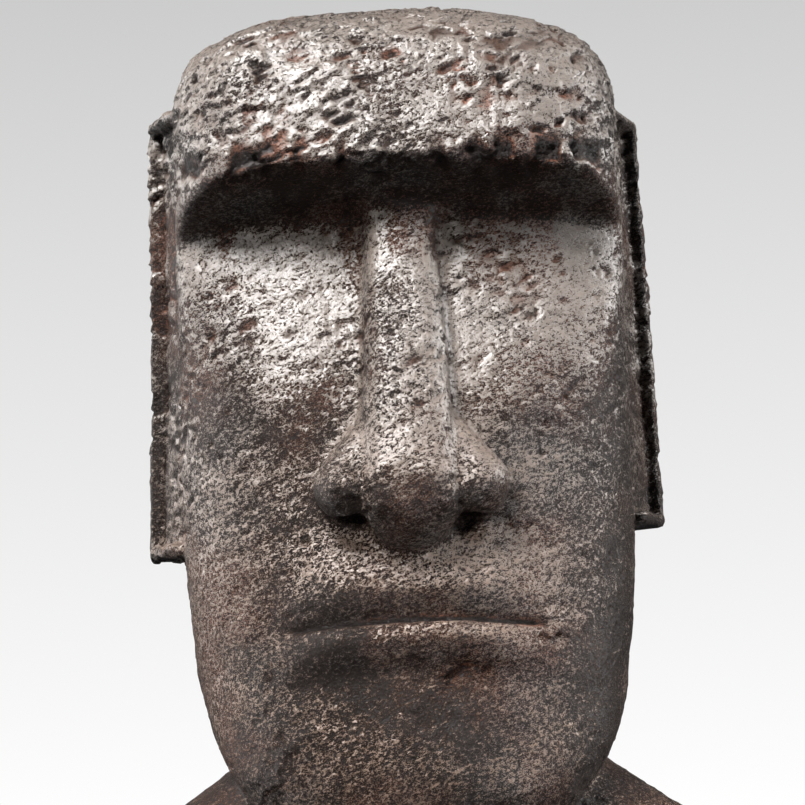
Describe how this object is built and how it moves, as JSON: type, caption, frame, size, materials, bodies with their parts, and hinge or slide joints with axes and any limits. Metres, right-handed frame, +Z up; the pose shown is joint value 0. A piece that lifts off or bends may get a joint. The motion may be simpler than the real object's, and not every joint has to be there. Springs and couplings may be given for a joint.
{
  "type": "moai head bust",
  "caption": "Long stone head with a heavy straight brow, deep eye hollows, long nose, pursed lips and long ears, on shoulders cut flat below.",
  "frame": {"origin": "middle of the flat underside", "axes": "+Z up, -Y is the way the face looks, +X is on the right of someone who faces the head"},
  "size_m": [0.3144, 0.2008, 0.497],
  "materials": {
    "dark_stone": "coarse gritty cast stone, stained dark brown and varnished"
  },
  "bodies": {
    "root": {"moai_bust": "dark_stone"}
  },
  "joints": []
}
